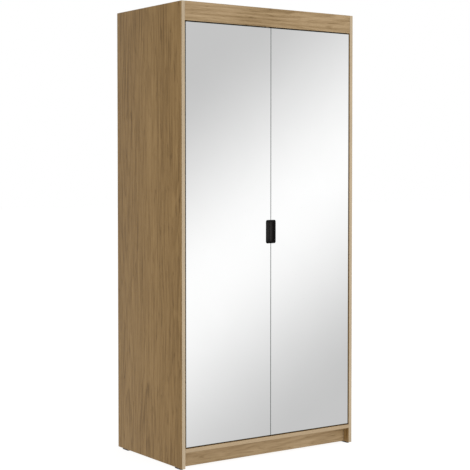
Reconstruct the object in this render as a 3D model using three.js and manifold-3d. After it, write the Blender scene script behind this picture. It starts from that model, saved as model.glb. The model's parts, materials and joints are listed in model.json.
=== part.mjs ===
// Two-door mirrored wardrobe with inset hinged doors, in millimetres, +Z up.
// Places are measured from the left outer face (x), the front plane (y, growing to the back) and
// the floor (z). The exported group then moves the origin to the middle of the base.
import * as THREE from "three";
import { mergeVertices } from "three/addons/utils/BufferGeometryUtils.js";
import Module from "manifold-3d";

const wasm = await Module();
wasm.setup();

// Driving dimensions
const WIDTH = 900;
const SIDE_DEPTH = 520;
const HEIGHT = 1905;
const BOARD = 16;
const BACK = 3;
const GLIDE = 5;
const GAP = 0.3; // between pieces that touch on the real object
const CUT = 1; // how far a cutter reaches past the face that it opens
const ARC_STEPS = 3; // pairs of facets in each arc of an outline
const PIN_SIDES = 12; // facets around a pin or a screw hole

// Cabinet
const FLOOR_PANEL_Z = 70;
const PLINTH_SETBACK = 32;
const PLINTH_BASE_Z = 6.5;
const REAR_RAIL_SETBACK = 14;
const FASCIA_HEIGHT = 78;
const PARTITION_FRONT = 26;
const SHELF_FRONT = 45;
const SHELF_PLAY = 1;
const SHELF_COUNT = 4;
const SHELF_FIRST_Z = 438;
const SHELF_PITCH = 352;
const HAT_SHELF_Z = 1600;
const BACK_REVEAL = 2;
const BACK_BASE_Z = 12;
const GLIDE_LENGTH = 50;
const GLIDE_INSET = 1;
const GLIDE_Y = { front: 37, rear: 463 };

// Doors
const DOOR_SIDE_GAP = 5;
const DOOR_MEETING_GAP = 2;
const DOOR_END_GAP = 5;
const DOOR_RECESS = 2;
const MIRROR = 4;
const BUFFER_R = 3;
const BUFFER_SIDES = 16;
const BUFFER_OFFSET = 4.2;
const BUFFER_Z = { lower: 160, upper: 1750 };

// Upright axes, as [x, y] on the left side: a door's own, and that of its hinge links
const DOOR_AXIS = [29, 9];
const LINK_AXIS = [35, 26.5];

// Concealed hinges
const HINGE_HEIGHTS = [191, 701, 1212, 1722];
const LINK_BOSS_R = 2.6;
const HINGE_PIN_R = 1.2;
const CUP_R = 17.5;
const CUP_DEPTH = 12.3;
const CUP_EDGE = 5;
const CUP_WALL = 1.5;
const CUP_FLOOR = 1.2;
const CUP_FLANGE_R = 19;
const CUP_SIDES = 20;
const BORE_SIDES = 24;
const WING = { halfWidth: 8, halfLength: 31, corner: 6, thick: 0.9 };
const LINK_BAR = { halfHeight: 7, footHalfHeight: 4, footEnd: -14.2 };
const LINK_ELBOW = { x: 19, y: -3.4, inside: 1.4, outside: 4.2 };
const ARM_PLATE = { thick: 2.5, halfDepth: 23, halfHeight: 26, corner: 8, middle: 33.5 };
const ARM_CHANNEL = { roof: -8, front: 6.5, back: 58.5, wall: 1.2, sole: 2, end: 6 };
const ARM_EAR = { inside: 7.4, outside: 8.9, root: 16.5, shoulder: 12.5, knee: 5.5 };

// Finger pulls let into the meeting edges
const PULL_WIDTH = 24;
const PULL_LENGTH = 98;
const PULL_Z = 961;
const PULL_FRONT = 0.6;
const PULL_BACK = 17.6;
const PULL_CORNER = 7;
const PULL_RIM = 6;
const PULL_INNER_CORNER = 3;
const PULL_FLOOR = 3;
const PULL_LIP = 3;
const PULL_UNDERCUT = 1.5;

// Hanging rail
const RAIL_Z = 1540;
const RAIL_Y = 262;
const RAIL_TALL = 30;
const RAIL_THICK = 15;
const RAIL_WALL = 1.2;
const SOCKET_PLATE = 2.5;
const SOCKET_FLANGE = 7;
const SOCKET_WALL = 2;
const SOCKET_SLEEVE = 10;

// Wall brackets
const BRACKET_X = 150;
const BRACKET_WIDTH = 40;
const BRACKET_LEG = 40;
const BRACKET_THICK = 2;
const BRACKET_HOLE_R = 3;
const BRACKET_HOLE_PLACE = 24; // from the bend

// Values that follow from the dimensions above
const DEPTH = SIDE_DEPTH + BACK;
const CENTRE = WIDTH / 2;
const INNER_LEFT = BOARD + GAP;
const INNER_RIGHT = WIDTH - BOARD - GAP;
const CLEAR_BACK = SIDE_DEPTH - GAP;
const TOP_Z = HEIGHT - BOARD;
const FLOOR_TOP_Z = FLOOR_PANEL_Z + BOARD;
const DOOR_OUTER = BOARD + DOOR_SIDE_GAP;
const DOOR_WIDTH = CENTRE - DOOR_MEETING_GAP / 2 - DOOR_OUTER;
const DOOR_INNER = DOOR_OUTER + DOOR_WIDTH;
const DOOR_BASE = FLOOR_TOP_Z + DOOR_END_GAP;
const DOOR_HEIGHT = HEIGHT - FASCIA_HEIGHT - DOOR_END_GAP - DOOR_BASE;
const DOOR_BOARD_FRONT = DOOR_RECESS + MIRROR + GAP;
const DOOR_BACK = DOOR_BOARD_FRONT + BOARD;
const CUP_X = DOOR_OUTER + CUP_EDGE + CUP_R;

const finishes = {
  oak: { color: "#aa9069", roughness: 0.55, metalness: 0 },
  back: { color: "#c9b592", roughness: 0.7, metalness: 0 },
  mirror: { color: "#e8ecee", roughness: 0.03, metalness: 1 },
  pull: { color: "#0b0b0c", roughness: 0.42, metalness: 0 },
  plastic: { color: "#18181a", roughness: 0.6, metalness: 0 },
  clear: { color: "#d5d8d6", roughness: 0.35, metalness: 0 },
  steel: { color: "#b9bcc0", roughness: 0.3, metalness: 1 },
  chrome: { color: "#d4d7da", roughness: 0.12, metalness: 1 },
};

// Solids

function solid(geometry) {
  const bare = geometry.index ? geometry.toNonIndexed() : geometry.clone();
  bare.deleteAttribute("normal");
  bare.deleteAttribute("uv");
  const merged = mergeVertices(bare, 1e-4);
  const vertProperties = new Float32Array(merged.attributes.position.array);
  const triVerts = new Uint32Array(merged.index.array);
  return new wasm.Manifold(new wasm.Mesh({ numProp: 3, vertProperties, triVerts }));
}

function geometryOf(manifold) {
  const mesh = manifold.getMesh();
  const geometry = new THREE.BufferGeometry();
  geometry.setAttribute("position", new THREE.BufferAttribute(mesh.vertProperties, 3));
  geometry.setIndex(new THREE.BufferAttribute(mesh.triVerts, 1));
  geometry.computeVertexNormals();
  return geometry;
}

function mirrored(shape) {
  return shape.mirror([1, 0, 0]);
}

function block([x0, x1], [y0, y1], [z0, z1]) {
  const geometry = new THREE.BoxGeometry(x1 - x0, y1 - y0, z1 - z0);
  return solid(geometry.translate((x0 + x1) / 2, (y0 + y1) / 2, (z0 + z1) / 2));
}

function extrusion(outline, depth) {
  return new THREE.ExtrudeGeometry(outline, { depth, bevelEnabled: false, curveSegments: ARC_STEPS });
}

// A plan outline (x, y), extruded upwards from z0 to z1.
function upright(outline, z0, z1) {
  return solid(extrusion(outline, z1 - z0).translate(0, 0, z0));
}

// A front-view outline (x, z), extruded backwards from y0 to y1.
function through(outline, y0, y1) {
  return solid(extrusion(outline, y1 - y0).rotateX(Math.PI / 2).translate(0, y1, 0));
}

// A side-view outline (y, z), extruded to the right from x0 to x1.
function across(outline, x0, x1) {
  const lying = extrusion(outline, x1 - x0).rotateX(Math.PI / 2);
  return solid(lying.rotateZ(Math.PI / 2).translate(x0, 0, 0));
}

// A round pin or bore that stands upright.
function pin(x, y, radius, z0, z1) {
  const geometry = new THREE.CylinderGeometry(radius, radius, z1 - z0, PIN_SIDES);
  return solid(geometry.rotateX(Math.PI / 2).translate(x, y, (z0 + z1) / 2));
}

// A round peg or bore that runs from front to back.
function peg(x, z, radius, y0, y1, sides) {
  const geometry = new THREE.CylinderGeometry(radius, radius, y1 - y0, sides);
  return solid(geometry.translate(x, (y0 + y1) / 2, z));
}

function polygon(points) {
  return new THREE.Shape(points.map(([u, v]) => new THREE.Vector2(u, v)));
}

// A rectangle whose four corner radii run anticlockwise from its low corner.
function rounded([u0, u1], [v0, v1], [lowStart, lowEnd, highEnd, highStart]) {
  const shape = new THREE.Shape();
  const corner = (u, v, radius, from) => {
    if (radius > 0) {
      shape.absarc(u, v, radius, from, from + Math.PI / 2, false);
    } else {
      shape.lineTo(u, v);
    }
  };
  shape.moveTo(u0 + lowStart, v0);
  corner(u1 - lowEnd, v0 + lowEnd, lowEnd, -Math.PI / 2);
  corner(u1 - highEnd, v1 - highEnd, highEnd, 0);
  corner(u0 + highStart, v1 - highStart, highStart, Math.PI / 2);
  corner(u0 + lowStart, v0 + lowStart, lowStart, Math.PI);
  return shape;
}

// A rounded rectangle about its own centre.
function plateOutline(halfWidth, halfHeight, radius) {
  const corners = [radius, radius, radius, radius];
  return rounded([-halfWidth, halfWidth], [-halfHeight, halfHeight], corners);
}

// Scene graph: the cabinet, and on each side a group for the door and one for its hinge links,
// whose origins stand on the axes that they turn about

const SIDES = ["left", "right"];

const wardrobe = new THREE.Group();
wardrobe.position.set(-CENTRE, -DEPTH / 2, 0);

function onSide(side, x) {
  return side === "left" ? x : WIDTH - x;
}

function groupAt(x, y) {
  const group = new THREE.Group();
  group.position.set(x, y, 0);
  wardrobe.add(group);
  return group;
}

// Adds a mesh to a group; its place is given in the wardrobe, whatever the group's own origin is.
function add(group, name, geometry, finish, [x, y, z]) {
  const mesh = new THREE.Mesh(geometry, new THREE.MeshStandardMaterial(finishes[finish]));
  mesh.name = name;
  mesh.position.set(x, y, z).sub(group.position);
  group.add(mesh);
}

// A plain board or sheet that fills three ranges.
function addBoard(group, name, [x0, x1], [y0, y1], [z0, z1], finish = "oak") {
  const geometry = new THREE.BoxGeometry(x1 - x0, y1 - y0, z1 - z0);
  add(group, name, geometry, finish, [(x0 + x1) / 2, (y0 + y1) / 2, (z0 + z1) / 2]);
}

// A piece drawn for the left side, or its mirror image for the right.
function addSided(group, side, name, shape, finish, [x, y, z]) {
  const geometry = geometryOf(side === "left" ? shape : mirrored(shape));
  add(group, `${side}_${name}`, geometry, finish, [onSide(side, x), y, z]);
}

// Cabinet

function addCarcass(group) {
  const between = [INNER_LEFT, INNER_RIGHT];
  for (const side of SIDES) {
    const x = [onSide(side, 0), onSide(side, BOARD)].sort((a, b) => a - b);
    addBoard(group, `${side}_side_panel`, x, [0, SIDE_DEPTH], [GLIDE, HEIGHT]);
  }
  addBoard(group, "top_panel", between, [BOARD + GAP, CLEAR_BACK], [TOP_Z, HEIGHT]);
  addBoard(group, "top_fascia", between, [0, BOARD], [HEIGHT - FASCIA_HEIGHT, HEIGHT]);
  addBoard(group, "bottom_panel", between, [0, CLEAR_BACK], [FLOOR_PANEL_Z, FLOOR_TOP_Z]);
  const plinthHeight = [PLINTH_BASE_Z, FLOOR_PANEL_Z - GAP];
  addBoard(group, "plinth", between, [PLINTH_SETBACK, PLINTH_SETBACK + BOARD], plinthHeight);
  const railBack = SIDE_DEPTH - REAR_RAIL_SETBACK;
  addBoard(group, "rear_plinth_rail", between, [railBack - BOARD, railBack], plinthHeight);
}

function addInterior(group) {
  const partition = [CENTRE - BOARD / 2, CENTRE + BOARD / 2];
  const partitionHeight = [FLOOR_TOP_Z + GAP, TOP_Z - GAP];
  addBoard(group, "centre_partition", partition, [PARTITION_FRONT, CLEAR_BACK], partitionHeight);
  const shelfX = [BOARD + SHELF_PLAY, partition[0] - SHELF_PLAY];
  const shelfY = [SHELF_FRONT, CLEAR_BACK - GAP];
  for (let i = 0; i < SHELF_COUNT; i += 1) {
    const z = SHELF_FIRST_Z + i * SHELF_PITCH;
    addBoard(group, `left_shelf_${i + 1}`, shelfX, shelfY, [z, z + BOARD]);
  }
  const hatX = [partition[1] + GAP, INNER_RIGHT];
  addBoard(group, "hat_shelf", hatX, shelfY, [HAT_SHELF_Z, HAT_SHELF_Z + BOARD]);
}

// Two hardboard sheets, nailed to the back edges, which meet behind the partition.
function addBack(group) {
  const sheets = { left: [BACK_REVEAL, CENTRE - GAP], right: [CENTRE + GAP, WIDTH - BACK_REVEAL] };
  for (const [side, x] of Object.entries(sheets)) {
    const z = [BACK_BASE_Z, HEIGHT - BACK_REVEAL];
    addBoard(group, `${side}_back_panel`, x, [SIDE_DEPTH + GAP, DEPTH], z, "back");
  }
}

function addGlides(group) {
  const radius = BOARD / 2 - GLIDE_INSET;
  const glide = upright(plateOutline(radius, GLIDE_LENGTH / 2, radius), 0, GLIDE - GAP);
  for (const side of SIDES) {
    for (const [end, y] of Object.entries(GLIDE_Y)) {
      addSided(group, side, `${end}_glide`, glide, "plastic", [BOARD / 2, y, 0]);
    }
  }
}

// Doors

// The finger pull's outline, drawn from the middle of the door's meeting edge.
function pullOutline(clearance) {
  const half = PULL_LENGTH / 2 + clearance;
  const radius = PULL_CORNER + clearance;
  return rounded([-PULL_WIDTH - clearance, clearance], [-half, half], [radius, 0, 0, radius]);
}

// A sheet the size of a door, drawn from its lower outer corner, with a pocket for the pull.
function doorSheet(thickness, pocketDepth) {
  const pocket = through(pullOutline(GAP), -CUT, pocketDepth);
  return block([0, DOOR_WIDTH], [0, thickness], [0, DOOR_HEIGHT])
    .subtract(pocket.translate([DOOR_WIDTH, 0, PULL_Z - DOOR_BASE]));
}

function doorBoard() {
  let board = doorSheet(BOARD, PULL_BACK + GAP - DOOR_BOARD_FRONT);
  for (const z of HINGE_HEIGHTS) {
    const depth = [BOARD - CUP_DEPTH, BOARD + CUT];
    board = board.subtract(peg(CUP_X - DOOR_OUTER, z - DOOR_BASE, CUP_R, ...depth, BORE_SIDES));
  }
  return board;
}

// A rim around three sides, a recess that opens on the meeting edge, and an undercut to hook a
// finger. It is drawn from the middle of the meeting edge.
function fingerPull() {
  const depth = PULL_BACK - PULL_FRONT;
  const rimX = PULL_RIM - PULL_WIDTH;
  const half = PULL_LENGTH / 2 - PULL_RIM;
  const hookHalf = half - PULL_INNER_CORNER;
  const corners = [PULL_INNER_CORNER, 0, 0, PULL_INNER_CORNER];
  const recess = rounded([rimX, CUT], [-half, half], corners);
  const hookX = [rimX - PULL_UNDERCUT, CUT];
  return through(pullOutline(0), 0, depth)
    .subtract(through(recess, -CUT, depth - PULL_FLOOR))
    .subtract(block(hookX, [PULL_LIP, depth - PULL_FLOOR], [-hookHalf, hookHalf]));
}

function addDoor(group, side) {
  const mirror = doorSheet(MIRROR, MIRROR + CUT);
  addSided(group, side, "door_board", doorBoard(), "oak", [DOOR_OUTER, DOOR_BOARD_FRONT, DOOR_BASE]);
  addSided(group, side, "door_mirror", mirror, "mirror", [DOOR_OUTER, DOOR_RECESS, DOOR_BASE]);
  addSided(group, side, "finger_pull", fingerPull(), "pull", [DOOR_INNER, PULL_FRONT, PULL_Z]);
}

// Hinges

// The cup sits in a door's bore, and its wings are screwed to the back of the board. It is drawn
// from its centre on the board's back face.
function hingeCup() {
  const outer = CUP_R - GAP;
  const inner = outer - CUP_WALL;
  const base = GAP - CUP_DEPTH;
  const floor = base + CUP_FLOOR;
  const face = GAP + WING.thick;
  const profile = [
    [0, base], [outer, base], [outer, GAP], [CUP_FLANGE_R, GAP], [CUP_FLANGE_R, face], [inner, face],
    [inner, floor], [0, floor],
  ];
  const points = profile.map(([r, y]) => new THREE.Vector2(r, y));
  const mouth = peg(0, 0, outer, GAP - CUT, face + CUT, CUP_SIDES);
  const wings = through(plateOutline(WING.halfWidth, WING.halfLength, WING.corner), GAP, face);
  return solid(new THREE.LatheGeometry(points, CUP_SIDES)).add(wings.subtract(mouth));
}

// A bar from the pin, an elbow, and a foot that reaches into the cup. It is drawn from the pin.
function hingeLink() {
  const { x, y, inside, outside } = LINK_ELBOW;
  const { halfHeight, footHalfHeight, footEnd } = LINK_BAR;
  const elbow = new THREE.Shape();
  elbow.moveTo(0, y + inside);
  elbow.absarc(x, y, inside, Math.PI / 2, 0, true);
  elbow.lineTo(x + inside, footEnd);
  elbow.lineTo(x + outside, footEnd);
  elbow.absarc(x, y, outside, 0, Math.PI / 2, false);
  elbow.lineTo(0, y + outside);
  const bar = polygon([[0, y + inside], [x, y + inside], [x, y + outside], [0, y + outside]]);
  return upright(elbow, -footHalfHeight, footHalfHeight)
    .add(upright(bar, -halfHeight, halfHeight))
    .add(pin(0, 0, LINK_BOSS_R, -halfHeight, halfHeight))
    .subtract(pin(0, 0, HINGE_PIN_R + GAP, -halfHeight - CUT, halfHeight + CUT));
}

// One of the arm's two ears, which hold the links' pin: from the channel's sole round the pin to
// the channel's roof.
function armEar(sole) {
  const { root, shoulder, knee } = ARM_EAR;
  const step = 1;
  const brow = 3;
  const ear = new THREE.Shape();
  ear.moveTo(sole, root);
  ear.lineTo(sole + step, knee);
  ear.absarc(0, 0, LINK_BOSS_R, Math.PI * 1.2, Math.PI * 2.2, false);
  ear.lineTo(ARM_CHANNEL.roof + brow, shoulder);
  ear.lineTo(ARM_CHANNEL.roof, root);
  return ear;
}

// A plate on the side panel, a channel along it, and the ears. It is drawn from the pin.
function hingeArm() {
  const { roof, front, back, wall, sole, end } = ARM_CHANNEL;
  const { inside, outside } = ARM_EAR;
  const mountX = INNER_LEFT - LINK_AXIS[0];
  const plateEnd = mountX + ARM_PLATE.thick;
  const outline = plateOutline(ARM_PLATE.halfDepth, ARM_PLATE.halfHeight, ARM_PLATE.corner);
  const plate = across(outline, mountX, plateEnd).translate([0, ARM_PLATE.middle, 0]);
  const sunk = 0.1; // into the plate, so that the two are one
  const soleX = plateEnd - sunk;
  const channel = block([soleX, roof], [front, back], [-outside, outside]);
  const trough = block([soleX + sole, roof - wall], [front - CUT, back - end], [-inside, inside]);
  const ear = armEar(soleX);
  return plate
    .add(channel.subtract(trough))
    .add(upright(ear, -outside, -inside))
    .add(upright(ear, inside, outside))
    .add(pin(0, 0, HINGE_PIN_R, -outside, outside));
}

function addHinges(cabinet, door, links, side) {
  const arm = hingeArm();
  const link = hingeLink();
  const cup = hingeCup();
  HINGE_HEIGHTS.forEach((z, i) => {
    addSided(cabinet, side, `hinge_arm_${i + 1}`, arm, "steel", [...LINK_AXIS, z]);
    addSided(links, side, `hinge_link_${i + 1}`, link, "steel", [...LINK_AXIS, z]);
    addSided(door, side, `hinge_cup_${i + 1}`, cup, "steel", [CUP_X, DOOR_BACK, z]);
  });
}

// Soft buffers on the partition's front edge, which the closed doors rest against.
function addBuffers(group) {
  const front = DOOR_BACK + GAP;
  const buffer = peg(0, 0, BUFFER_R, 0, PARTITION_FRONT - GAP - front, BUFFER_SIDES);
  for (const side of SIDES) {
    for (const [end, z] of Object.entries(BUFFER_Z)) {
      const place = [CENTRE - BUFFER_OFFSET, front, z];
      addSided(group, side, `${end}_door_buffer`, buffer, "clear", place);
    }
  }
}

// Hanging rail: an oval tube held at each end in a socket.

function oval(growth) {
  const radius = RAIL_THICK / 2 + growth;
  return plateOutline(radius, RAIL_TALL / 2 + growth, radius);
}

function addRail(group) {
  const ends = [CENTRE + BOARD / 2 + GAP, INNER_RIGHT];
  const tubeStart = SOCKET_PLATE + GAP;
  const length = ends[1] - ends[0] - 2 * tubeStart;
  const bore = across(oval(-RAIL_WALL), -CUT, length + CUT);
  const tube = across(oval(0), 0, length).subtract(bore);
  add(group, "hanging_rail", geometryOf(tube), "chrome", [ends[0] + tubeStart, RAIL_Y, RAIL_Z]);
  const collarEnd = tubeStart + SOCKET_SLEEVE;
  const socket = across(oval(SOCKET_FLANGE), 0, SOCKET_PLATE)
    .add(across(oval(SOCKET_WALL), 0, collarEnd))
    .subtract(across(oval(GAP), SOCKET_PLATE, collarEnd + CUT));
  const place = (x) => [x, RAIL_Y, RAIL_Z];
  add(group, "rail_socket_left", geometryOf(socket), "chrome", place(ends[0]));
  add(group, "rail_socket_right", geometryOf(mirrored(socket)), "chrome", place(ends[1]));
}

// L-shaped brackets under the top panel, for screws into the wall behind. One is drawn from the
// outside of its bend.
function addWallBrackets(group) {
  const leg = -BRACKET_LEG;
  const inner = -BRACKET_THICK;
  const hole = -BRACKET_HOLE_PLACE;
  const outline = polygon([[0, 0], [leg, 0], [leg, inner], [inner, inner], [inner, leg], [0, leg]]);
  const bracket = across(outline, -BRACKET_WIDTH / 2, BRACKET_WIDTH / 2)
    .subtract(peg(0, hole, BRACKET_HOLE_R, inner - CUT, CUT, PIN_SIDES))
    .subtract(pin(0, hole, BRACKET_HOLE_R, inner - CUT, CUT));
  for (const side of SIDES) {
    addSided(group, side, "wall_bracket", bracket, "steel", [BRACKET_X, CLEAR_BACK, TOP_Z - GAP]);
  }
}

const cabinet = groupAt(0, 0);
addCarcass(cabinet);
addInterior(cabinet);
addBack(cabinet);
addGlides(cabinet);
addBuffers(cabinet);
addRail(cabinet);
addWallBrackets(cabinet);
for (const side of SIDES) {
  const door = groupAt(onSide(side, DOOR_AXIS[0]), DOOR_AXIS[1]);
  const links = groupAt(onSide(side, LINK_AXIS[0]), LINK_AXIS[1]);
  addDoor(door, side);
  addHinges(cabinet, door, links, side);
}

export default wardrobe;
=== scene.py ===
"""Two-door wardrobe with mirror doors: its looks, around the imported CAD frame. Metres, +Z up."""

import json
import math

import bmesh
import bpy
from mathutils import Matrix, Vector

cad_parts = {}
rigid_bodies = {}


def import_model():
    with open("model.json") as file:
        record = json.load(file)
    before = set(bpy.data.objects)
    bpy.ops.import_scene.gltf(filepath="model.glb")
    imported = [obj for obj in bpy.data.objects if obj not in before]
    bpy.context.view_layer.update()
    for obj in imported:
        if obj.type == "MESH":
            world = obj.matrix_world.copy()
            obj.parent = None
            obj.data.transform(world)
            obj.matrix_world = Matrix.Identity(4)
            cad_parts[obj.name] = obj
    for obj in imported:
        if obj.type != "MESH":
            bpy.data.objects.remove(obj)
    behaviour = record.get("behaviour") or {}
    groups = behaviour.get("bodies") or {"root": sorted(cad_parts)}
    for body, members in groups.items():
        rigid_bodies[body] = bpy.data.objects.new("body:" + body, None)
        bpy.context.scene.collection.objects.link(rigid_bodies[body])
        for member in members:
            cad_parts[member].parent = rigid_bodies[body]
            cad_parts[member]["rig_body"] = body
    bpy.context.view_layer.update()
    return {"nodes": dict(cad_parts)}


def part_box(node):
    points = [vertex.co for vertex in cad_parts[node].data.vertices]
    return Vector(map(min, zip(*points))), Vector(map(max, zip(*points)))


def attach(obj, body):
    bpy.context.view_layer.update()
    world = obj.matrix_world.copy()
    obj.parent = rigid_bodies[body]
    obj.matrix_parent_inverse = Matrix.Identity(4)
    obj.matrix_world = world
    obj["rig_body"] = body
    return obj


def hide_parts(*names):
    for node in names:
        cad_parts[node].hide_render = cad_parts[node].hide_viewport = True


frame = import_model()

MM = 0.001
SIDES = ("left", "right")
HINGES = range(1, 5)

# ---------------------------------------------------------------- node helpers


def material(name):
    """A new node material with its tree and its Principled shader."""
    made = bpy.data.materials.new(name)
    made.use_nodes = True
    return made, made.node_tree, made.node_tree.nodes["Principled BSDF"]


def fill(tree, target, value):
    """Links a socket to an input, or writes a plain value into it."""
    if isinstance(value, bpy.types.NodeSocket):
        tree.links.new(value, target)
    else:
        target.default_value = value


def node(tree, kind, inputs=None, output=0, **settings):
    """Adds a node, fills its inputs by name or number, and returns one output socket."""
    made = tree.nodes.new(kind)
    for key, value in settings.items():
        setattr(made, key, value)
    for key, value in (inputs or {}).items():
        fill(tree, made.inputs[key], value)
    return made.outputs[output]


def maths(tree, operation, a, b=0.0, c=0.0):
    return node(tree, "ShaderNodeMath", {0: a, 1: b, 2: c}, operation=operation)


def noise(tree, vector, scale, detail, roughness=0.5, distortion=0.0):
    inputs = {"Vector": vector, "Scale": scale, "Detail": detail}
    inputs.update({"Roughness": roughness, "Distortion": distortion})
    return node(tree, "ShaderNodeTexNoise", inputs)


def remap(tree, value, low, high, to_low=0.0, to_high=1.0):
    inputs = {"Value": value, "From Min": low, "From Max": high}
    inputs.update({"To Min": to_low, "To Max": to_high})
    return node(tree, "ShaderNodeMapRange", inputs, clamp=True)


def ramp(tree, value, stops):
    """A colour ramp through (position, (r, g, b)) stops."""
    made = tree.nodes.new("ShaderNodeValToRGB")
    elements = made.color_ramp.elements
    while len(elements) < len(stops):
        elements.new(0.5)
    for element, (position, colour) in zip(elements, stops):
        element.position = position
        element.color = (*colour, 1.0)
    tree.links.new(value, made.inputs["Fac"])
    return made.outputs["Color"]


def mix(tree, factor, a, b):
    """Mixes two colours."""
    made = tree.nodes.new("ShaderNodeMix")
    made.data_type = "RGBA"
    for key, value in ((0, factor), (6, a), (7, b)):
        fill(tree, made.inputs[key], value if not isinstance(value, tuple) else (*value, 1.0))
    return made.outputs[2]


def blend(tree, first, second, share):
    """The share of one number and the rest of another."""
    return maths(tree, "MULTIPLY_ADD", first, share, maths(tree, "MULTIPLY", second, 1.0 - share))


def bump(tree, height, strength, distance):
    inputs = {"Height": height, "Strength": strength, "Distance": distance}
    return node(tree, "ShaderNodeBump", inputs)


NOISE_SPAN = (0.3, 0.7)  # most of a noise texture's values lie between these


def two_tone(tree, value, low, high):
    """A ramp between two colours over the usual span of a noise texture."""
    return ramp(tree, value, list(zip(NOISE_SPAN, (low, high))))


def object_place(tree):
    """The point in the row frame, which is every piece's own space."""
    return node(tree, "ShaderNodeTexCoord", output="Object")


# ---------------------------------------------------------------- oak laminate

LEAF_WIDTH = 0.19  # of one veneer leaf in the print
LEAF_SWAY = 0.022  # how far a leaf's edge wanders to either side
SWAY_SPAN = (0.2, 0.8)  # the noise values that reach those limits
LEAF_SHADE = 0.02  # how far one leaf is lighter or darker than the next
HEART_FIRST = 0.32  # the leaf's heart lies this far across it at least, as a part of its width
HEART_SPREAD = 0.36
LEAF_STAGGER = 5.0  # how far apart the flames of two leaves can start
RING_PITCH = 0.017
RING_WANDER = 0.006
WANDER_SPAN = (0.25, 0.75)
RING_CORE = 0.25  # the late wood of a ring begins here, as a part of the ring
RING_PEAK = 0.86
RING_EDGES = (0.38, 0.68)  # noise values between which the rings, pores and marks fade in
PORE_EDGES = (0.64, 0.72)
MARK_EDGES = (0.60, 0.71)
FLAME_LENGTH = 0.9  # between the tips of two flames
FLAME_SLOPE = 0.075  # how slowly the rings close over the middle of a leaf
SEED_ACROSS = 1.37  # how far one unit of seed moves a board through the print
SEED_ALONG = 3.11

# The noise layers of the print: length against width, scale, detail, roughness, distortion.
OAK_LAYERS = {
    "sway": (0.25, 5.0, 2.0, 0.5, 0.0),
    "wander": (0.12, 26.0, 3.0, 0.6, 0.0),
    "strength": (0.2, 9.0, 2.0, 0.5, 0.0),
    "fibres": (0.012, 620.0, 4.0, 0.65, 0.0),
    "streaks": (0.05, 66.0, 4.0, 0.72, 0.0),
    "dashes": (0.05, 330.0, 1.0, 0.5, 0.0),
    "flecks": (0.15, 80.0, 2.0, 0.5, 0.4),
    "bands": (0.06, 8.0, 2.0, 0.5, 0.0),
}
# How much each part of the print lightens or darkens the oak.
OAK_WEIGHTS = {"streaks": 0.54, "fibres": 0.24, "bands": 0.22, "rings": -0.115, "marks": -0.10}
# From the weighted value to the oak's brightness.
OAK_LEVELS = [(0.26, 0.42), (0.38, 0.76), (0.49, 1.06), (0.60, 1.30)]
OAK_WARMTH = (1.0, 1.16, 1.55)  # how fast red, green and blue fall in the dark parts
PORE_LEVEL = 0.42
PORE_COVER = 0.45
PORE_ROUGHNESS = 0.12
OAK_ROUGHNESS = (0.46, 0.56)
OAK_GLOSS = 0.25
FIBRE_RELIEF = 0.35
OAK_BUMP = 0.35
OAK_RELIEF = 0.00012


def grain_place(tree, along):
    """(across, along) of a point in a board whose grain runs along that axis."""
    xyz = tree.nodes.new("ShaderNodeSeparateXYZ")
    tree.links.new(object_place(tree), xyz.inputs[0])
    seed = node(tree, "ShaderNodeAttribute", output="Fac", attribute_type="OBJECT",
                attribute_name="grain_seed")
    others = [axis for axis in "XYZ" if axis != along]
    across = maths(tree, "ADD", xyz.outputs[others[0]], xyz.outputs[others[1]])
    across = maths(tree, "ADD", across, maths(tree, "MULTIPLY", seed, SEED_ACROSS))
    length = maths(tree, "ADD", xyz.outputs[along], maths(tree, "MULTIPLY", seed, SEED_ALONG))
    return across, length


def grain_noise(tree, across, length, squeeze, *settings):
    """Noise whose features are drawn out along the grain."""
    inputs = {"X": across, "Y": 0.0, "Z": maths(tree, "MULTIPLY", length, squeeze)}
    return noise(tree, node(tree, "ShaderNodeCombineXYZ", inputs), *settings)


def oak_rings(tree, across, length, layer):
    """The late wood of the growth rings, and a random number for each veneer leaf."""
    sway = remap(tree, layer["sway"], *SWAY_SPAN, -LEAF_SWAY, LEAF_SWAY)
    leaves = maths(tree, "DIVIDE", maths(tree, "ADD", across, sway), LEAF_WIDTH)
    chance = node(tree, "ShaderNodeTexWhiteNoise", {"W": maths(tree, "FLOOR", leaves)},
                  noise_dimensions="1D")
    heart = maths(tree, "MULTIPLY_ADD", chance, HEART_SPREAD, HEART_FIRST)
    offset = maths(tree, "SUBTRACT", maths(tree, "FRACT", leaves), heart)
    offset = maths(tree, "MULTIPLY", offset, LEAF_WIDTH)
    start = maths(tree, "MULTIPLY_ADD", chance, LEAF_STAGGER, length)
    closing = maths(tree, "MULTIPLY", maths(tree, "PINGPONG", start, FLAME_LENGTH), FLAME_SLOPE)
    radius = maths(tree, "SQRT", maths(tree, "ADD", maths(tree, "POWER", offset, 2.0),
                                       maths(tree, "POWER", closing, 2.0)))
    wander = remap(tree, layer["wander"], *WANDER_SPAN, -RING_WANDER, RING_WANDER)
    radius = maths(tree, "ADD", radius, wander)
    ring = maths(tree, "FRACT", maths(tree, "DIVIDE", radius, RING_PITCH))
    rise = remap(tree, ring, RING_CORE, RING_PEAK)
    late = maths(tree, "MULTIPLY", rise, remap(tree, ring, 1.0, RING_PEAK))
    return maths(tree, "MULTIPLY", late, remap(tree, layer["strength"], *RING_EDGES)), chance


def oak_tones(tree, along):
    """The parts of the printed oak: its noise layers, rings, pores, marks and leaves."""
    across, length = grain_place(tree, along)
    tone = {name: grain_noise(tree, across, length, *layer) for name, layer in OAK_LAYERS.items()}
    tone["rings"], tone["leaf"] = oak_rings(tree, across, length, tone)
    tone["pores"] = remap(tree, tone["dashes"], *PORE_EDGES)
    tone["marks"] = remap(tree, tone["flecks"], *MARK_EDGES)
    return tone


def oak_shade(base, level):
    """The base colour lighter or darker; the darker it gets, the warmer it is."""
    return tuple(c * level ** warmth for c, warmth in zip(base, OAK_WARMTH))


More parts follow.
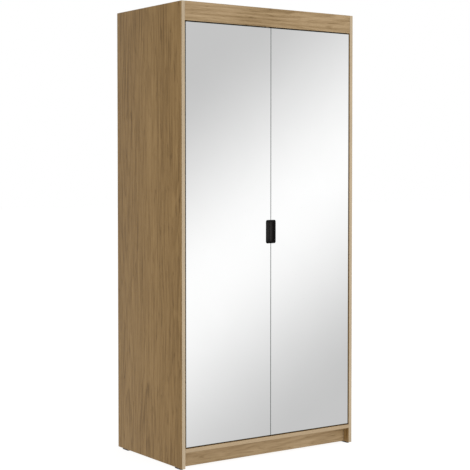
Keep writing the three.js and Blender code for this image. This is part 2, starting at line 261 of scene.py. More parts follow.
def oak_laminate(name, along, base):
    """Oak-effect melamine film: a print with a shallow pressed pore texture."""
    made, tree, shader = material(name)
    tone = oak_tones(tree, along)
    value = remap(tree, tone["leaf"], 0.0, 1.0, -LEAF_SHADE, LEAF_SHADE)
    for part, weight in OAK_WEIGHTS.items():
        value = maths(tree, "MULTIPLY_ADD", tone[part], weight, value)
    stops = [(position, oak_shade(base, level)) for position, level in OAK_LEVELS]
    cover = maths(tree, "MULTIPLY", tone["pores"], PORE_COVER)
    colour = mix(tree, cover, ramp(tree, value, stops), oak_shade(base, PORE_LEVEL))
    tree.links.new(colour, shader.inputs["Base Color"])
    rough = remap(tree, tone["fibres"], *NOISE_SPAN, *OAK_ROUGHNESS)
    rough = maths(tree, "MULTIPLY_ADD", tone["pores"], PORE_ROUGHNESS, rough)
    tree.links.new(rough, shader.inputs["Roughness"])
    relief = maths(tree, "MULTIPLY", tone["fibres"], FIBRE_RELIEF)
    relief = maths(tree, "SUBTRACT", relief, tone["pores"])
    tree.links.new(bump(tree, relief, OAK_BUMP, OAK_RELIEF), shader.inputs["Normal"])
    shader.inputs["Specular IOR Level"].default_value = OAK_GLOSS
    return made


BAND_LINES = (0.02, 420.0, 3.0, 0.6)  # in the order of the oak's noise layers
BAND_DRIFT = (0.3, 11.0, 2.0)
BAND_LINE_SHARE = 0.6
BAND_LEVELS = [(0.3, 0.80), (0.5, 1.0), (0.7, 1.15)]
BAND_ROUGHNESS = (0.38, 0.5)
BAND_BUMP = 0.2
BAND_RELIEF = 0.00006


def edge_band(name, along, base):
    """The thin plastic edging in a paler, plainer print of the same oak."""
    made, tree, shader = material(name)
    across, length = grain_place(tree, along)
    lines = grain_noise(tree, across, length, *BAND_LINES)
    value = blend(tree, lines, grain_noise(tree, across, length, *BAND_DRIFT), BAND_LINE_SHARE)
    stops = [(position, tuple(c * level for c in base)) for position, level in BAND_LEVELS]
    tree.links.new(ramp(tree, value, stops), shader.inputs["Base Color"])
    tree.links.new(remap(tree, lines, *NOISE_SPAN, *BAND_ROUGHNESS), shader.inputs["Roughness"])
    tree.links.new(bump(tree, lines, BAND_BUMP, BAND_RELIEF), shader.inputs["Normal"])
    return made


OAK_BASE = (0.273, 0.163, 0.0572)
OAK = {
    "X": oak_laminate("oak_laminate_across", "X", OAK_BASE),
    "Z": oak_laminate("oak_laminate_upright", "Z", OAK_BASE),
}
# The front boards' oak has a paler, greyer base than OAK_BASE: painted sheen from the frontal light
# on the same print.
FRONT_OAK_PAINTED_SHEEN = oak_laminate("oak_laminate_front_painted_sheen", "X", (0.274, 0.187, 0.096))
BAND = {
    "X": edge_band("oak_edging_across", "X", (0.345, 0.250, 0.145)),
    "Y": edge_band("oak_edging_depth", "Y", (0.372, 0.288, 0.186)),
    "Z": edge_band("oak_edging_upright", "Z", (0.372, 0.288, 0.186)),
}

# ---------------------------------------------------------------- other materials

SPECKLE_SHARE = 0.65  # of the fine variation; the rest is broad
SPECKLE_BREADTH = 0.06  # scale of the broad variation against the fine
SPECKLE_BUMP = 0.4


def speckled(name, base, contrast, scale, roughness, relief,
             metallic=0.0, stretch=(1, 1, 1), gloss=0.5):
    """A surface with fine variation in colour, roughness and relief."""
    made, tree, shader = material(name)
    place = node(tree, "ShaderNodeMapping", {"Vector": object_place(tree), "Scale": stretch})
    grain = noise(tree, place, scale, 4.0, 0.6)
    broad = noise(tree, place, scale * SPECKLE_BREADTH, 2.0)
    value = blend(tree, grain, broad, SPECKLE_SHARE)
    low = tuple(c * (1 - contrast) for c in base)
    high = tuple(min(c * (1 + contrast), 1.0) for c in base)
    tree.links.new(two_tone(tree, value, low, high), shader.inputs["Base Color"])
    tree.links.new(remap(tree, value, *NOISE_SPAN, *roughness), shader.inputs["Roughness"])
    tree.links.new(bump(tree, grain, SPECKLE_BUMP, relief), shader.inputs["Normal"])
    shader.inputs["Metallic"].default_value = metallic
    shader.inputs["Specular IOR Level"].default_value = gloss
    return made


SMEAR_SPAN = (0.35, 0.75)
MIRROR_ROUGHNESS = (0.008, 0.022)
GROUND_ROUGHNESS = (0.3, 0.45)
GROUND_GRAIN = 900.0
GROUND_SHADE = 0.85  # the darkest part of ground glass against its colour


def mirror_silver():
    """Silvered float glass with the faintest smears."""
    made, tree, shader = material("mirror_silver")
    smear = noise(tree, object_place(tree), 3.0, 4.0, 0.6, 0.6)
    tint = two_tone(tree, smear, (0.93, 0.933, 0.932), (0.95, 0.952, 0.951))
    tree.links.new(tint, shader.inputs["Base Color"])
    tree.links.new(remap(tree, smear, *SMEAR_SPAN, *MIRROR_ROUGHNESS), shader.inputs["Roughness"])
    shader.inputs["Metallic"].default_value = 1.0
    return made


def ground_glass(name, base, gloss):
    """Ground glass: the arris round a mirror's face, or the lacquered side of the sheet."""
    made, tree, shader = material(name)
    grain = noise(tree, object_place(tree), GROUND_GRAIN, 2.0)
    low = tuple(c * GROUND_SHADE for c in base)
    tree.links.new(two_tone(tree, grain, low, base), shader.inputs["Base Color"])
    tree.links.new(remap(tree, grain, *NOISE_SPAN, *GROUND_ROUGHNESS), shader.inputs["Roughness"])
    shader.inputs["Specular IOR Level"].default_value = gloss
    return made


MIRROR = mirror_silver()
ARRIS = ground_glass("mirror_arris", (0.32, 0.35, 0.338), gloss=0.3)
GLASS_SIDE = ground_glass("mirror_side", (0.022, 0.027, 0.024), gloss=0.05)
PULL = speckled("pull_satin_black", (0.0045, 0.0043, 0.0044), contrast=0.25, scale=1500.0,
                roughness=(0.5, 0.62), relief=0.00003, gloss=0.06)
# The recess's greyer black is painted light: the same moulding as the rim, coloured lighter inside
# the hollow.
PULL_RECESS_PAINTED_LIGHT = speckled("pull_recess_painted_light", (0.0190, 0.0172, 0.0164), contrast=0.2, scale=1100.0,
                       roughness=(0.45, 0.6), relief=0.00003, gloss=0.2)
BLACK_PLASTIC = speckled("glide_black_plastic", (0.02, 0.02, 0.021), contrast=0.3, scale=900.0,
                         roughness=(0.5, 0.7), relief=0.00005)
CLEAR_PLASTIC = speckled("buffer_silicone", (0.62, 0.64, 0.62), contrast=0.08, scale=600.0,
                         roughness=(0.25, 0.4), relief=0.00002)
NICKEL = speckled("hinge_nickel", (0.64, 0.63, 0.61), contrast=0.05, scale=500.0,
                  roughness=(0.26, 0.32), relief=0.000004, metallic=1.0)
SCREW_STEEL = speckled("screw_zinc", (0.52, 0.52, 0.53), contrast=0.15, scale=900.0,
                       roughness=(0.26, 0.42), relief=0.00002, metallic=1.0)
CHROME = speckled("rail_chrome", (0.72, 0.73, 0.74), contrast=0.05, scale=220.0,
                  roughness=(0.06, 0.14), relief=0.00001, metallic=1.0, stretch=(0.05, 1, 1))
CORE = speckled("chipboard_core", (0.36, 0.26, 0.15), contrast=0.3, scale=420.0,
                roughness=(0.7, 0.9), relief=0.00012)
COVER = speckled("cam_cover_plastic", (0.34, 0.25, 0.15), contrast=0.08, scale=500.0,
                 roughness=(0.4, 0.52), relief=0.00003)
HARDBOARD = speckled("hardboard_raw", (0.24, 0.155, 0.085), contrast=0.28, scale=340.0,
                     roughness=(0.66, 0.85), relief=0.00009)

# ---------------------------------------------------------------- mesh helpers


SHARP_ANGLE = math.radians(30)  # edges sharper than this are rounded
SHADE_ANGLE = math.radians(35)  # edges sharper than this are shaded as edges
MIRROR_SHADE_ANGLE = math.radians(20)
FLAT_ANGLE = math.radians(1)  # edges flatter than this are taken out
CLEARLY = 0.9  # the least part of a direction that counts as lying along an axis
TINY = 1e-6


def piece(name, bm, body, materials, stands_for=(), smooth=SHADE_ANGLE, seed=None):
    """Turns a bmesh in the row frame into a shown piece that rides on a CAD body."""
    mesh = bpy.data.meshes.new(name)
    bmesh.ops.recalc_face_normals(bm, faces=bm.faces)
    bm.to_mesh(mesh)
    bm.free()
    for each in materials:
        mesh.materials.append(each)
    mesh.shade_smooth()
    mesh.set_sharp_from_angle(angle=smooth)
    made = bpy.data.objects.new(name, mesh)
    bpy.context.scene.collection.objects.link(made)
    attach(made, body)
    if stands_for:
        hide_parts(*stands_for)
    if seed is not None:
        made["grain_seed"] = float(seed)


def ends_in_x(side, node_name):
    """A node's x at its own side of the wardrobe and at its other end, and the way between."""
    lo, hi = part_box(node_name)
    return (lo.x, hi.x, 1) if side == "left" else (hi.x, lo.x, -1)


def cuboid(bm, lo, hi):
    """Adds a box between two corners."""
    size = Vector(hi) - Vector(lo)
    place = Matrix.Translation((Vector(lo) + Vector(hi)) / 2) @ Matrix.Diagonal((*size, 1.0))
    bmesh.ops.create_cube(bm, size=1.0, matrix=place)


def soften(bm, radius, segments, edges=None):
    """Rounds the given edges, or else every sharp one."""
    if edges is None:
        edges = [e for e in bm.edges if e.is_manifold and e.calc_face_angle() > SHARP_ANGLE]
    bmesh.ops.bevel(bm, geom=edges, offset=radius, segments=segments, profile=0.5,
                    affect="EDGES", clamp_overlap=True)


def runs_along_y(edge):
    start, end = (v.co for v in edge.verts)
    return abs(end.y - start.y) > CLEARLY * (end - start).length


def seat(centre, axis):
    """The matrix that puts the origin at a centre and turns +Z to an axis."""
    facing = Vector((0, 0, 1)).rotation_difference(Vector(axis)).to_matrix().to_4x4()
    return Matrix.Translation(Vector(centre)) @ facing


def turned(bm, profile, centre, axis, steps):
    """Adds a closed lathe solid: (radius, distance along the axis) points from axis to axis."""
    place = seat(centre, axis)
    turns = [2 * math.pi * i / steps for i in range(steps)]
    rows = []
    for radius, height in profile:
        ring = [(radius * math.cos(turn), radius * math.sin(turn)) for turn in turns]
        points = ring if radius else [(0, 0)]
        rows.append([bm.verts.new(place @ Vector((x, y, height))) for x, y in points])
    for low, high in zip(rows, rows[1:]):
        for i in range(steps):
            j = (i + 1) % steps
            corners = [low[i % len(low)], low[j % len(low)],
                       high[j % len(high)], high[i % len(high)]]
            bm.faces.new(list(dict.fromkeys(corners)))  # without a point's repeats


def carved(bm, cutters, materials):
    """The first bmesh with the second one's solids cut out; faces keep their material numbers."""
    solids = []
    for label, source in (("carved_body", bm), ("carved_tool", cutters)):
        bmesh.ops.recalc_face_normals(source, faces=source.faces)
        mesh = bpy.data.meshes.new(label)
        source.to_mesh(mesh)
        source.free()
        for each in materials:
            mesh.materials.append(each)
        made = bpy.data.objects.new(label, mesh)
        bpy.context.scene.collection.objects.link(made)
        solids.append(made)
    body, tool = solids
    cut = body.modifiers.new("cut", "BOOLEAN")
    cut.object = tool
    cut.operation = "DIFFERENCE"
    cut.solver = "EXACT"
    result = bmesh.new()
    result.from_object(body, bpy.context.evaluated_depsgraph_get())
    for made in solids:
        mesh = made.data
        bpy.data.objects.remove(made)
        bpy.data.meshes.remove(mesh)
    return result


def refined(node_name, radius, segments, materials, name=None, paint=None, slit=None):
    """A finely rounded piece with the shape of a CAD node, which it stands for.

    Where slit is given, the faces are divided along the upright plane at that x. Where paint is
    given, it picks a face's material number from the face."""
    source = frame["nodes"][node_name]
    bm = bmesh.new()
    bm.from_mesh(source.data)
    bmesh.ops.remove_doubles(bm, verts=bm.verts, dist=TINY)
    bmesh.ops.dissolve_limit(bm, angle_limit=FLAT_ANGLE, verts=bm.verts, edges=bm.edges)
    soften(bm, radius, segments)
    if slit is not None:
        everything = [*bm.verts, *bm.edges, *bm.faces]
        bmesh.ops.bisect_plane(bm, geom=everything, plane_co=(slit, 0, 0), plane_no=(1, 0, 0))
    if paint:
        for face in bm.faces:
            face.material_index = paint(face)
    piece(name or f"{node_name}_fine", bm, source["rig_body"], materials, [node_name])


# ---------------------------------------------------------------- boards

FACE, EDGE, END, CUT_FACE = range(4)  # material numbers on a board
BAND_ROUNDING = 0.7 * MM
PIN_RADIUS = 2.4 * MM
PIN_DEPTH = 8.0 * MM
PIN_INSET = 32.0 * MM  # from a shelf's front and back edges
HOLE_PITCH = 32.0 * MM
HOLE_RADIUS = PIN_RADIUS + 0.1 * MM
HOLE_DEPTH = PIN_DEPTH + 1.0 * MM
SHELVES = [f"left_shelf_{i}" for i in range(1, 5)]
FRONTS = ("top_fascia", "plinth")  # the fascia and plinth, whose oak is painted paler and greyer as painted sheen from the frontal light
SEED_START = 0.4
SEED_STEP = 0.731
DOOR_SEEDS = {"left": 6.2, "right": 7.9}
BACK_SEEDS = {"left": 9.3, "right": 10.6}


def board_axes(node_name):
    """A board's axes from its thickness through its width to its length."""
    lo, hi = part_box(node_name)
    return sorted(range(3), key=lambda i: hi[i] - lo[i])


def board_solid(node_name):
    """A board's box with softly rounded edges, and faces numbered as large, long edge or end."""
    thin, _, long = board_axes(node_name)
    bm = bmesh.new()
    cuboid(bm, *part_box(node_name))
    soften(bm, BAND_ROUNDING, 3)
    for face in bm.faces:
        face.normal_update()
        if abs(face.normal[thin]) > CLEARLY:
            face.material_index = FACE
        else:
            face.material_index = END if abs(face.normal[long]) > CLEARLY else EDGE
    return bm


def board_materials(node_name, face):
    """A board's materials: its face, the edging along it and across its ends, and its core."""
    _, wide, long = board_axes(node_name)
    return [face, BAND["XYZ"[long]], BAND["XYZ"[wide]], CORE]


def bore(bm, centre, axis, radius, depth, steps=24):
    """Adds a cutter for a blind hole that goes into a board against the axis."""
    over = 1.0 * MM
    before = len(bm.faces)
    turned(bm, [(0, -depth), (radius, -depth), (radius, over), (0, over)], centre, axis, steps)
    bm.faces.ensure_lookup_table()
    for face in bm.faces[before:]:
        face.material_index = CUT_FACE


def board(node_name, along, seed, holes):
    """A laminated, edge-banded board in place of its CAD box, with blind holes bored in it."""
    # The fascia and plinth take the oak with painted sheen; the other boards take the plain oak.
    materials = board_materials(node_name, FRONT_OAK_PAINTED_SHEEN if node_name in FRONTS else OAK[along])
    bm = board_solid(node_name)
    if holes:
        cutters = bmesh.new()
        for centre, axis in holes:
            bore(cutters, centre, axis, HOLE_RADIUS, HOLE_DEPTH)
        bm = carved(bm, cutters, materials)
    piece(f"{node_name}_board", bm, "cabinet", materials, [node_name], seed=seed)


def pin_places(shelf):
    """The centres and directions of the four pins under a shelf, on the boards beside it."""
    lo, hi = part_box(shelf)
    slack = 0.05 * MM
    z = lo.z - PIN_RADIUS - slack
    walls = [(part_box("left_side_panel")[1].x, (1, 0, 0)),
             (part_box("centre_partition")[0].x, (-1, 0, 0))]
    depths = [lo.y + PIN_INSET, hi.y - PIN_INSET]
    return [(Vector((x, y, z)), axis) for x, axis in walls for y in depths]


def hole_rows(axis):
    """The line-bored holes in the wall that faces along an axis: one row step around each pin."""
    steps = [Vector((0, 0, k * HOLE_PITCH)) for k in (-1, 0, 1)]
    found = [centre for shelf in SHELVES for centre, way in pin_places(shelf) if way == axis]
    return [(centre + step, axis) for centre in found for step in steps]


def make_boards():
    """All the flat boards of the cabinet; the doors' boards are made with the doors."""
    upright = ["left_side_panel", "right_side_panel", "centre_partition"]
    level = ["top_fascia", "top_panel", "bottom_panel", "plinth", "rear_plinth_rail", "hat_shelf"]
    bored = {"left_side_panel": hole_rows((1, 0, 0)), "centre_partition": hole_rows((-1, 0, 0))}
    for number, node_name in enumerate(upright + level + SHELVES):
        along = "Z" if node_name in upright else "X"
        board(node_name, along, number * SEED_STEP + SEED_START, bored.get(node_name, ()))


def make_shelf_pins():
    """Nickel pins with a collar, four under each shelf."""
    collar = PIN_RADIUS + 1.8 * MM
    collar_end = 0.9 * MM
    reach = 9.0 * MM
    tip = 0.5 * MM
    profile = [(0, -PIN_DEPTH), (PIN_RADIUS, -PIN_DEPTH), (PIN_RADIUS, 0), (collar, 0),
               (collar, collar_end), (PIN_RADIUS, collar_end), (PIN_RADIUS, reach - tip),
               (PIN_RADIUS - tip, reach), (0, reach)]
    for shelf in SHELVES:
        for number, (centre, axis) in enumerate(pin_places(shelf), 1):
            bm = bmesh.new()
            turned(bm, profile, centre, axis, 24)
            piece(f"{shelf}_pin_{number}", bm, "cabinet", [NICKEL])


def make_cam_covers():
    """Round caps over the connectors in the top panel, the hat shelf and the fascia."""
    radius = 8.5 * MM
    thick = 1.0 * MM
    rounding = 0.4 * MM
    inset = 34.0 * MM
    profile = [(0, 0), (radius, 0), (radius, thick - rounding), (radius - rounding, thick),
               (0, thick)]
    places = []
    for node_name in ("top_panel", "hat_shelf"):
        lo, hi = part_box(node_name)
        for x in (lo.x + inset, hi.x - inset):
            for y in (lo.y + 2 * inset, hi.y - 2 * inset):
                places.append(((x, y, lo.z), (0, 0, -1)))
    lo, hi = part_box("top_fascia")
    for x in (lo.x + inset, hi.x - inset):
        places.append(((x, hi.y, lo.z + inset), (0, 1, 0)))
    for number, (centre, axis) in enumerate(places, 1):
        bm = bmesh.new()
        turned(bm, profile, centre, axis, 32)
        piece(f"cam_cover_{number}", bm, "cabinet", [COVER])


# ---------------------------------------------------------------- doors

MIRROR_ARRIS = 0.8 * MM
PULL_CLEARANCE = 0.3 * MM
GAP_CORNER = 7.3 * MM  # corner radius of the gap round a pull
ARC_STEPS = 8
CUP_BORE_RADIUS = 17.5 * MM
CUP_BORE_DEPTH = 12.3 * MM


def mirror_outline(side):
    """The mirror's outline in x and z, with the round-cornered notch at the meeting edge."""
    lo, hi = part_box(f"{side}_door_mirror")
    pull_lo, pull_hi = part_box(f"{side}_finger_pull")
    outer, meeting, inward = ends_in_x(side, f"{side}_door_mirror")
    deep = ends_in_x(side, f"{side}_finger_pull")[0] - inward * PULL_CLEARANCE
    base = pull_lo.z - PULL_CLEARANCE
    top = pull_hi.z + PULL_CLEARANCE
    turns = [math.pi / 2 * i / ARC_STEPS for i in range(ARC_STEPS + 1)]
    arc = [(GAP_CORNER * (1 - math.sin(turn)), GAP_CORNER * (1 - math.cos(turn))) for turn in turns]
    points = [(outer, lo.z), (meeting, lo.z), (meeting, base)]
    points += [(deep + inward * across, base + up) for across, up in arc]
    points += [(deep + inward * across, top - up) for across, up in reversed(arc)]
    return points + [(meeting, top), (meeting, hi.z), (outer, hi.z)]


def make_mirror(side):
    """One sheet of mirror glass with a narrow ground arris round its face."""
    lo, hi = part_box(f"{side}_door_mirror")
    bm = bmesh.new()
    outline = [bm.verts.new((x, hi.y, z)) for x, z in mirror_outline(side)]
    back = bm.faces.new(outline)
    made = bmesh.ops.extrude_face_region(bm, geom=[back])
    front = [v for v in made["geom"] if isinstance(v, bmesh.types.BMVert)]
    bmesh.ops.translate(bm, verts=front, vec=(0, lo.y - hi.y, 0))
    rim = [e for e in bm.edges if all(v in front for v in e.verts)]
    bmesh.ops.bevel(bm, geom=rim, offset=MIRROR_ARRIS, segments=1, profile=0.5, affect="EDGES")
    bmesh.ops.recalc_face_normals(bm, faces=bm.faces)
    for face in bm.faces:
        face.normal_update()
        facing = abs(face.normal.y)
        flat, slanted = facing > 0.99, facing > 0.1
        face.material_index = 0 if flat else 1 if slanted else 2
    piece(f"{side}_mirror_sheet", bm, f"{side}_door", [MIRROR, ARRIS, GLASS_SIDE],
          [f"{side}_door_mirror"], smooth=MIRROR_SHADE_ANGLE)


def make_pull(side):
    """The black pull. Its recess is painted a slightly greyer black than its rim and outside, as
    painted light in the hollow, with a black strip along the meeting edge as painted shade in the
    seam.
    """
    node_name = f"{side}_finger_pull"
    lo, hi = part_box(node_name)
    outer, meeting, inward = ends_in_x(side, node_name)
    rim = 4.4 * MM
    skin = 0.8 * MM
    # Width of the strip along the meeting edge that is painted black as shade in the seam; the
    # faces are slit there.
    seam_shade_width = 1.5 * MM

    def paint(face):
        spot = face.calc_center_median()
        past_rim = (spot.x - outer) * inward > rim and lo.z + rim < spot.z < hi.z - rim
        behind_face = lo.y + skin < spot.y < hi.y - skin
        # A strip along the meeting edge keeps the rim's black: painted shade in the seam between
        # the two pulls.
        painted_seam_shade = abs(spot.x - meeting) < seam_shade_width
        return 1 if past_rim and behind_face and not painted_seam_shade else 0

    refined(node_name, 0.5 * MM, 3, [PULL, PULL_RECESS_PAINTED_LIGHT],
            name=f"{side}_pull_moulding", paint=paint, slit=meeting - inward * seam_shade_width)


def make_door_board(side):
    """The board behind the mirror, with a pocket for the pull and the round hinge cup bores."""
    node_name = f"{side}_door_board"
    lo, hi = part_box(node_name)
    pull_lo, pull_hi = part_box(f"{side}_finger_pull")
    over = 2.0 * MM  # how far the cutter reaches past the board
    pocket_lo = pull_lo - Vector((1, 1, 1)) * PULL_CLEARANCE
    pocket_hi = pull_hi + Vector((1, 1, 1)) * PULL_CLEARANCE
    pocket_lo.y = lo.y - over
    if side == "left":
        pocket_hi.x += over
    else:
        pocket_lo.x -= over
    cutters = bmesh.new()
    cuboid(cutters, pocket_lo, pocket_hi)
    soften(cutters, GAP_CORNER, 6, edges=[e for e in cutters.edges if runs_along_y(e)])
    for face in cutters.faces:
        face.material_index = CUT_FACE
    for i in HINGES:
        centre = cup_centre(f"{side}_hinge_cup_{i}")
        mouth = (centre.x, hi.y, centre.z)
        bore(cutters, mouth, (0, 1, 0), CUP_BORE_RADIUS, CUP_BORE_DEPTH, 64)
    materials = board_materials(node_name, OAK["Z"])
    bm = carved(board_solid(node_name), cutters, materials)
    piece(f"{side}_door_leaf", bm, f"{side}_door", materials, [node_name],
          seed=DOOR_SEEDS[side])


def cup_centre(node_name):
    """The middle of a hinge cup's round mouth, on the face that its screws press on."""
    lo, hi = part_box(node_name)
    return Vector(((lo.x + hi.x) / 2, hi.y, (lo.z + hi.z) / 2))


def make_door(side):
    make_mirror(side)
    make_pull(side)
    make_door_board(side)


# ---------------------------------------------------------------- hinges and screws

HINGE_SCREW = 3.4 * MM  # radii of the heads
RAIL_SCREW = 2.1 * MM
BRACKET_SCREW = 4.2 * MM


def screw_head():
    """A pan head with a cross recess, pointing up from its seat at the origin; radius 1."""
    bm = bmesh.new()
    profile = [(0, -0.1), (1, -0.1), (1, 0.08), (0.86, 0.25), (0.5, 0.36), (0, 0.39)]
    turned(bm, profile, (0, 0, 0), (0, 0, 1), 32)
    cutters = bmesh.new()
    half_long, half_wide, sole, top = 0.52, 0.11, 0.1, 0.6
    cuboid(cutters, (-half_long, -half_wide, sole), (half_long, half_wide, top))
    cuboid(cutters, (-half_wide, -half_long, sole), (half_wide, half_long, top))
    return carved(bm, cutters, [SCREW_STEEL])


SCREW = screw_head()


def screw(name, body, centre, axis, radius, turn):
    """One screw head that sits on a face, turned by an angle in degrees."""
    bm = SCREW.copy()
    spin = Matrix.Rotation(math.radians(turn), 4, "Z")
    bm.transform(seat(centre, axis) @ spin @ Matrix.Scale(radius, 4))
    piece(name, bm, body, [SCREW_STEEL])


def make_hinge_cup(side, i):
    """A pressed cup with a rolled rim, and its two screwed wings."""
    node_name = f"{side}_hinge_cup_{i}"
    lo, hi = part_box(node_name)
    centre = cup_centre(node_name)
    depth = hi.y - lo.y
    thick = 0.9 * MM
    outer, rim, inner = 17.2 * MM, 19.0 * MM, 15.7 * MM
    sole = 1.2 * MM
    curl = 0.3 * MM
    profile = [(0, -depth), (outer - 2 * curl, -depth), (outer, 2 * curl - depth), (outer, -thick),
               (rim, -thick), (rim, -curl), (rim - curl, 0), (inner + curl, 0), (inner, -curl),
               (inner, sole - depth), (0, sole - depth)]
    bm = bmesh.new()
    turned(bm, profile, centre, (0, 1, 0), 64)
    wing = 8.0 * MM
    wing_corner = 6.0 * MM
    overlap = 1.0 * MM
    screw_inset = 5.5 * MM
    for number, way in enumerate((-1, 1), 1):
        ends = sorted([centre.z + way * (outer - overlap), centre.z + way * (hi.z - lo.z) / 2])
        plate = bmesh.new()
        cuboid(plate, (centre.x - wing, hi.y - thick, ends[0]), (centre.x + wing, hi.y, ends[1]))
        outer_z = ends[1] if way > 0 else ends[0]
        upright = [e for e in plate.edges if runs_along_y(e)]
        corners = [e for e in upright if abs(e.verts[0].co.z - outer_z) < TINY]
        soften(plate, wing_corner, 6, edges=corners)
        spare = bpy.data.meshes.new("wing")
        plate.to_mesh(spare)
        plate.free()
        bm.from_mesh(spare)
        bpy.data.meshes.remove(spare)
        place = (centre.x, hi.y, centre.z + way * ((hi.z - lo.z) / 2 - screw_inset))
        screw(f"{node_name}_screw_{number}", f"{side}_door", place, (0, 1, 0),
              HINGE_SCREW, turn=20 + 37 * i * way)
    piece(f"{node_name}_bowl", bm, f"{side}_door", [NICKEL], [node_name])


def make_hinge_arm(side, i):
    """The arm on its mounting plate, with two fixing screws and the adjusting screw."""
    node_name = f"{side}_hinge_arm_{i}"
    refined(node_name, 0.3 * MM, 2, [NICKEL])
    lo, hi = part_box(node_name)
    wall, _, inward = ends_in_x(side, node_name)
    middle = (lo.z + hi.z) / 2
    plate = 2.5 * MM  # heights of the plate and of the arm's roof over the side panel
    roof = 10.7 * MM
    plate_y = hi.y - 25.0 * MM
    roof_y = hi.y - 12.0 * MM
    spread = 17.5 * MM
    spots = [(plate, plate_y, middle - spread), (plate, plate_y, middle + spread),
             (roof, roof_y, middle)]
    for number, (height, y, z) in enumerate(spots, 1):
        screw(f"{node_name}_screw_{number}", "cabinet", (wall + inward * height, y, z),
              (inward, 0, 0), HINGE_SCREW, turn=23 * number + 51 * i)


def make_hinges():
    for side in SIDES:
        for i in HINGES:
            make_hinge_cup(side, i)
            make_hinge_arm(side, i)
            refined(f"{side}_hinge_link_{i}", 0.3 * MM, 2, [NICKEL])


# ---------------------------------------------------------------- backs, feet and fittings

NAIL_HEAD = 2.6 * MM  # radius
NAIL_PROUD = 0.4 * MM
NAIL_PITCH = 150.0 * MM


def make_back(side):
    """A hardboard sheet, printed with oak on its inner face, and the nails round its edges."""
    node_name = f"{side}_back_panel"
    lo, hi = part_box(node_name)
    sheet_back = hi.y - NAIL_PROUD
    bm = bmesh.new()
    cuboid(bm, lo, (hi.x, sheet_back, hi.z))
    for face in bm.faces:
        face.normal_update()
        face.material_index = 0 if face.normal.y < -CLEARLY else 1
    piece(f"{side}_back_sheet", bm, "cabinet", [OAK["Z"], HARDBOARD], [node_name],
          seed=BACK_SEEDS[side])
    edge = 6.0 * MM
    rows = round((hi.z - lo.z) / NAIL_PITCH)
    spots = [(x, lo.z + edge + (hi.z - lo.z - 2 * edge) * k / rows)
             for x in (lo.x + edge, hi.x - edge) for k in range(rows + 1)]
    columns = round((hi.x - lo.x) / NAIL_PITCH)
    spots += [(lo.x + (hi.x - lo.x) * k / columns, z)
              for z in (lo.z + edge, hi.z - edge) for k in range(1, columns)]
    profile = [(0, 0), (NAIL_HEAD, 0), (NAIL_HEAD, 0.6 * NAIL_PROUD), (0.8 * NAIL_HEAD, NAIL_PROUD),
               (0, NAIL_PROUD)]
    nails = bmesh.new()
    for x, z in spots:
        turned(nails, profile, (x, sheet_back, z), (0, 1, 0), 16)
    piece(f"{side}_back_nails", nails, "cabinet", [SCREW_STEEL])


def make_rail():
    """The hanging rail and its two screwed sockets."""
    flange = 2.5 * MM
    inset = 2.5 * MM  # from a socket's lower and upper ends to its screws
    refined("hanging_rail", 0.2 * MM, 2, [CHROME])
    for side in SIDES:
        node_name = f"rail_socket_{side}"
        refined(node_name, 0.3 * MM, 2, [CHROME])
        lo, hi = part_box(node_name)
        wall, _, inward = ends_in_x(side, node_name)
        for number, z in enumerate((lo.z + inset, hi.z - inset), 1):
            place = (wall + inward * flange, (lo.y + hi.y) / 2, z)
            screw(f"{node_name}_screw_{number}", "cabinet", place, (inward, 0, 0),
                  RAIL_SCREW, turn=40 * number)


def make_wall_bracket(side):
    """The bracket against tipping, with the screw that holds it under the top panel."""
    node_name = f"{side}_wall_bracket"
    sheet = 2.0 * MM
    hole_from_wall = 24.0 * MM
    refined(node_name, 0.3 * MM, 2, [SCREW_STEEL])
    lo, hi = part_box(node_name)
    place = ((lo.x + hi.x) / 2, hi.y - hole_from_wall, hi.z - sheet)
    screw(f"{node_name}_screw", "cabinet", place, (0, 0, -1), BRACKET_SCREW, turn=30)


def make_fittings():
    make_rail()
    for side in SIDES:
        make_back(side)
        make_wall_bracket(side)
        for end in ("front", "rear"):
            refined(f"{side}_{end}_glide", 0.6 * MM, 3, [BLACK_PLASTIC])
        for end in ("lower", "upper"):
            refined(f"{side}_{end}_door_buffer", 0.4 * MM, 3, [CLEAR_PLASTIC])


# ---------------------------------------------------------------- stage


FLOOR_REACH = 30.0
FLOOR_TONE = 0.26
FLOOR_GLOW = 0.87


def floor_material():
    """A plain pale floor, bright enough to melt into the white surroundings."""
    made, _, shader = material("studio_floor")
    shader.inputs["Base Color"].default_value = (FLOOR_TONE, FLOOR_TONE, FLOOR_TONE, 1.0)
    shader.inputs["Roughness"].default_value = 0.9
    shader.inputs["Specular IOR Level"].default_value = 0.0
    shader.inputs["Emission Color"].default_value = (1.0, 1.0, 1.0, 1.0)
    shader.inputs["Emission Strength"].default_value = FLOOR_GLOW
    return made


def make_floor():
    """A flat square, which the mirrors don't show."""
    ways = ((-1, -1), (1, -1), (1, 1), (-1, 1))
    mesh = bpy.data.meshes.new("floor")
    mesh.from_pydata([(x * FLOOR_REACH, y * FLOOR_REACH, 0) for x, y in ways], [], [(0, 1, 2, 3)])
    mesh.materials.append(floor_material())
    made = bpy.data.objects.new("floor", mesh)
    bpy.context.scene.collection.objects.link(made)
    made.visible_glossy = False


CAMERA_PLACE = (-3.1787, -4.5202, 1.2267)
CAMERA_YAW = 35.0836  # degrees to the right of +Y
CAMERA_PITCH = -1.878  # degrees above the level
CAMERA_LENS = 95.85  # in mm, on a sensor of 36 mm
CAMERA_SHIFT = -0.053


def make_camera():
    data = bpy.data.cameras.new("camera")
    data.sensor_width = 36.0
    data.lens = CAMERA_LENS
    data.shift_y = CAMERA_SHIFT
    data.clip_end = 60.0
    camera = bpy.data.objects.new("camera", data)
    camera.location = CAMERA_PLACE
    tilt = math.radians(90 + CAMERA_PITCH)
    camera.rotation_euler = (tilt, 0.0, -math.radians(CAMERA_YAW))
    bpy.context.scene.collection.objects.link(camera)
    bpy.context.scene.camera = camera


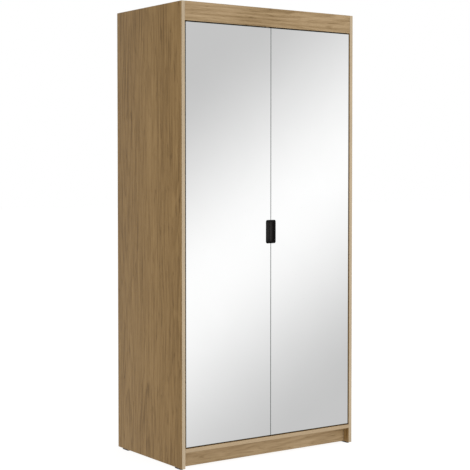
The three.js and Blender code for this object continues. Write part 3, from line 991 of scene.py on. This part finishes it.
def area_light(name, place, target, size, watts):
    """A rectangular lamp that faces a target; neither the camera nor the mirrors show it."""
    data = bpy.data.lights.new(name, "AREA")
    data.shape = "RECTANGLE"
    data.size, data.size_y = size
    data.energy = watts
    light = bpy.data.objects.new(name, data)
    light.location = place
    direction = Vector(target) - Vector(place)
    light.rotation_euler = direction.to_track_quat("-Z", "Y").to_euler()
    bpy.context.scene.collection.objects.link(light)
    light.visible_camera = False
    light.visible_glossy = False


# Broad, soft strips of light stand diagonally round the front, one for each way that the mirrors
# can be looked at. A strip's centre and reach are sines of angles, measured across the strip from
# the plane through the origin.
STRIP_TILT = 51.0  # degrees from upright
STRIP_CENTRE = 0.0535
STRIP_REACH = 0.138
STRIP_LEVEL = 1.05
ROOM_LEVEL = 0.59


def strip_light(tree, way, across_strip, centre):
    """The brightness of a soft strip of light, for a direction."""
    sine = node(tree, "ShaderNodeVectorMath", {0: way, 1: across_strip}, output="Value",
                operation="DOT_PRODUCT")
    off_centre = maths(tree, "ABSOLUTE", maths(tree, "SUBTRACT", sine, centre))
    fade = {"Value": off_centre, "From Min": 0.0, "From Max": STRIP_REACH,
            "To Min": STRIP_LEVEL, "To Max": ROOM_LEVEL}
    return node(tree, "ShaderNodeMapRange", fade, interpolation_type="SMOOTHSTEP")


def make_world():
    """White surroundings whose light comes from an even room and soft diagonal strips."""
    world = bpy.data.worlds.new("studio")
    world.use_nodes = True
    tree = world.node_tree
    tilt = math.radians(STRIP_TILT)
    way = node(tree, "ShaderNodeTexCoord", output="Generated")
    level = ROOM_LEVEL
    for turn, centre in ((CAMERA_YAW, STRIP_CENTRE), (0.0, 0.0), (-CAMERA_YAW, STRIP_CENTRE)):
        turned_by = math.radians(turn)
        sideways = Vector((math.cos(turned_by), math.sin(turned_by), 0.0))
        across_strip = sideways * math.cos(tilt) - Vector((0, 0, math.sin(tilt)))
        level = maths(tree, "MAXIMUM", strip_light(tree, way, across_strip, centre), level)
    lit = tree.nodes["Background"]
    tree.links.new(level, lit.inputs["Strength"])
    lit.inputs["Color"].default_value = (1.0, 1.0, 1.0, 1.0)
    seen = node(tree, "ShaderNodeBackground", {"Color": (1.0, 1.0, 1.0, 1.0), "Strength": 1.0})
    ray = node(tree, "ShaderNodeLightPath", output="Is Camera Ray")
    both = node(tree, "ShaderNodeMixShader", {0: ray, 1: lit.outputs[0], 2: seen})
    tree.links.new(both, tree.nodes["World Output"].inputs["Surface"])
    bpy.context.scene.world = world


def make_stage():
    make_floor()
    make_camera()
    make_world()
    area_light("key", (1.2, -6.6, 1.0), (0.0, 0.0, 0.8), (3.0, 2.0), 175)
    area_light("top", (0.4, -1.5, 5.0), (0.0, 0.0, 0.0), (4.0, 4.0), 60)


bpy.context.scene.view_settings.view_transform = "Standard"
make_boards()
make_shelf_pins()
make_cam_covers()
for each_side in SIDES:
    make_door(each_side)
make_hinges()
make_fittings()
make_stage()
